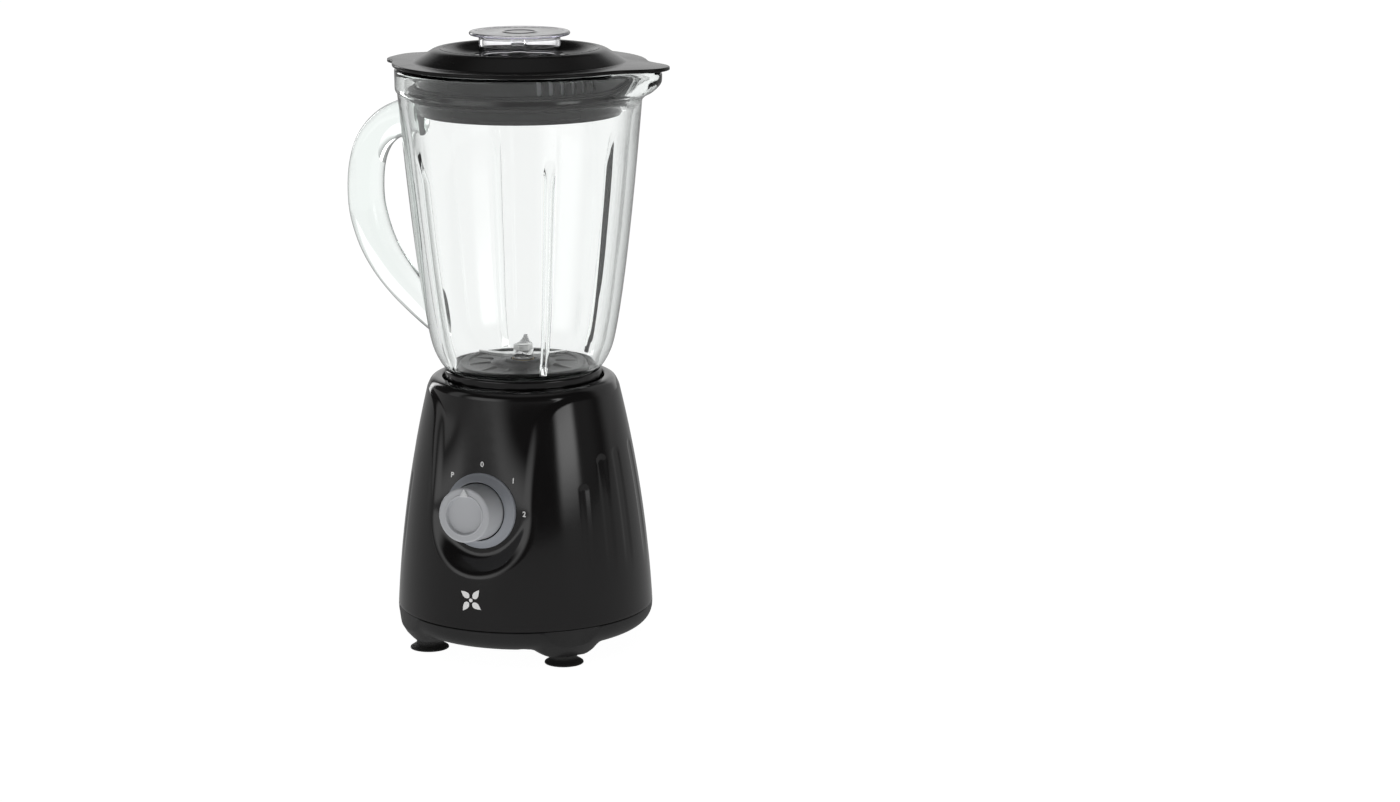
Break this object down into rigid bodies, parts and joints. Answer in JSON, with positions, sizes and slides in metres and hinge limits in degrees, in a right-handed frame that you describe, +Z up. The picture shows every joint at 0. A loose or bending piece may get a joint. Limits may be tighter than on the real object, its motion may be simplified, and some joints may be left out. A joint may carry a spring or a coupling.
{
  "type": "countertop blender",
  "caption": "Countertop blender: tapered black motor base with a front speed knob, glass jar with handle and spout, four-armed blade, black lid and clear measuring cap.",
  "frame": {"origin": "on the table, under the middle of the object's outline in X and Y", "axes": "+Z up; the front with the speed knob faces -Y, the handle is on -X, the pouring spout on +X"},
  "size_m": [0.2147, 0.1742, 0.38],
  "materials": {
    "gloss_black": "moulded high-gloss black plastic",
    "satin_black": "fine satin black plastic",
    "black_rubber": "matt black rubber",
    "light_grey": "satin light grey plastic",
    "blue_grey": "satin blue-grey plastic",
    "clear_glass": "clear pressed glass with a faint green edge",
    "clear_plastic": "clear plastic with a faint violet edge",
    "steel": "bright stamped steel",
    "lamination": "stacked electrical steel",
    "copper": "enamelled copper wire",
    "bronze": "sintered bronze",
    "white_nylon": "natural nylon",
    "carbon": "pressed carbon",
    "red_plastic": "dipped red film capacitor"
  },
  "bodies": {
    "base": {"motor_housing": "gloss_black", "bottom_cover": "satin_black", "foot_front_right": "black_rubber", "foot_back_right": "black_rubber", "foot_back_left": "black_rubber", "foot_front_left": "black_rubber", "cover_screw_1": "steel", "cover_screw_2": "steel", "cover_screw_3": "steel", "cover_screw_4": "steel", "cord_gland": "black_rubber", "dial_bezel": "blue_grey", "rotary_switch": "white_nylon", "jar_seat": "satin_black", "stator_stack": "lamination", "field_coil_front": "copper", "field_coil_back": "copper", "lower_bracket": "steel", "upper_bracket": "steel", "lower_bearing": "bronze", "upper_bearing": "bronze", "motor_mount_1": "black_rubber", "motor_mount_2": "black_rubber", "motor_mount_3": "black_rubber", "motor_mount_4": "black_rubber", "mount_screw_1": "steel", "mount_screw_2": "steel", "mount_screw_3": "steel", "mount_screw_4": "steel", "brush_holder_right": "bronze", "brush_holder_left": "bronze", "carbon_brush_right": "carbon", "carbon_brush_left": "carbon", "suppression_capacitor": "red_plastic"},
    "motor_rotor": {"motor_shaft": "steel", "armature_core": "lamination", "winding_upper": "copper", "winding_lower": "copper", "commutator": "copper", "cooling_fan": "white_nylon", "drive_coupling": "satin_black"},
    "knob": {"switch_stem": "steel", "speed_knob": "light_grey"},
    "jar": {"glass_jar": "clear_glass", "jar_collar": "satin_black", "blade_base": "satin_black", "jar_gasket": "black_rubber", "blade_bush": "bronze"},
    "blade_rotor": {"driven_coupling": "satin_black", "blade_shaft": "steel", "blade_washer": "steel", "blade_lower": "steel", "blade_upper": "steel", "blade_nut": "steel"},
    "lid": {"lid": "gloss_black", "lid_seal": "black_rubber"},
    "cap": {"measuring_cap": "clear_plastic"}
  },
  "joints": [
    {"name": "motor_spin", "type": "hinge", "parent": "base", "child": "motor_rotor", "pos_m": [0.009, 0.00385, 0.08], "axis": [0, 0, 1], "continuous": true},
    {"name": "knob_turn", "type": "hinge", "parent": "base", "child": "knob", "pos_m": [0.009, -0.0618, 0.096], "axis": [0, 0.994, -0.1097], "range_deg": [-45, 90]},
    {"name": "jar_lift", "type": "slide", "parent": "base", "child": "jar", "axis": [0, 0, 1], "range_m": [0, 0.08]},
    {"name": "blade_spin", "type": "hinge", "parent": "jar", "child": "blade_rotor", "pos_m": [0.009, 0.00385, 0.17], "axis": [0, 0, 1], "continuous": true},
    {"name": "lid_lift", "type": "slide", "parent": "jar", "child": "lid", "axis": [0, 0, 1], "range_m": [0, 0.06]},
    {"name": "cap_lift", "type": "slide", "parent": "lid", "child": "cap", "axis": [0, 0, 1], "range_m": [0, 0.04]}
  ],
  "couplings": [
    {"joint": "blade_spin", "follows": "motor_spin", "ratio": 1}
  ]
}
